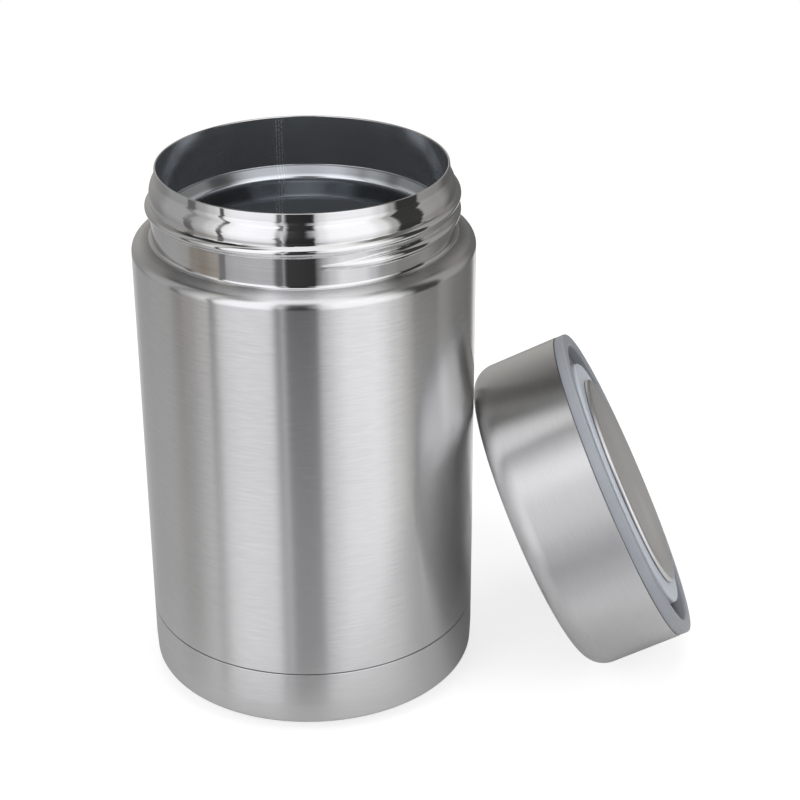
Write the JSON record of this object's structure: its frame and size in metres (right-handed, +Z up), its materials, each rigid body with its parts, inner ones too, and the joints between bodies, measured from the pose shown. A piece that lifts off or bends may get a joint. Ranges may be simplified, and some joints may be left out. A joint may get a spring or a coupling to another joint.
{
  "type": "insulated food jar",
  "caption": "Double-walled steel food jar with a wide threaded neck, its screw lid taken off and leaning on the wall with the seal side out.",
  "frame": {"origin": "on the table at the jar's axis, in the flat foot of the base cap", "axes": "+Z up along the jar's axis out of its mouth, +X towards the leaning lid, +Y to the back"},
  "size_m": [0.1698, 0.104, 0.1632],
  "materials": {
    "brushed_shell": "fine brushing round the jar, satin",
    "brushed_base": "fine brushing round the base, satin",
    "brushed_lid": "fine brushing round the lid, satin",
    "polished_neck": "polished stainless steel",
    "inner_steel": "smooth electropolished stainless steel",
    "plain_steel": "plain rolled sheet",
    "satin_disc": "fine satin",
    "foil": "bright rolled foil",
    "port_solder": "dark solder glass",
    "glue": "cured silicone adhesive",
    "foam": "rigid insulating foam, unpainted",
    "liner_plastic": "moulded, satin grey",
    "plug_plastic": "moulded, satin light grey",
    "seal_silicone": "smooth translucent silicone"
  },
  "bodies": {
    "jar": {"outer_shell": "brushed_shell", "threaded_neck": "polished_neck", "inner_vessel": "inner_steel", "inner_bottom": "inner_steel", "heat_foil": "foil", "outer_bottom": "plain_steel", "vacuum_seal": "port_solder", "getter": "plain_steel", "getter_clip": "plain_steel", "base_glue": "glue", "base_cap": "brushed_base"},
    "seal": {"seal_ring": "seal_silicone"},
    "lid": {"lid_shell": "brushed_lid", "lid_liner": "liner_plastic", "lid_foam": "foam", "plug_housing": "plug_plastic", "plug_foam": "foam", "plug_disc": "satin_disc"}
  },
  "joints": [
    {"name": "lid_lift", "type": "slide", "parent": "jar", "child": "seal", "axis": [0.9041, 0, 0.4274], "range_m": [0, 0.12]},
    {"name": "lid_turn", "type": "hinge", "parent": "seal", "child": "lid", "pos_m": [0.06963, 0.004, 0.04299], "axis": [0.9041, 0, 0.4274], "continuous": true}
  ]
}
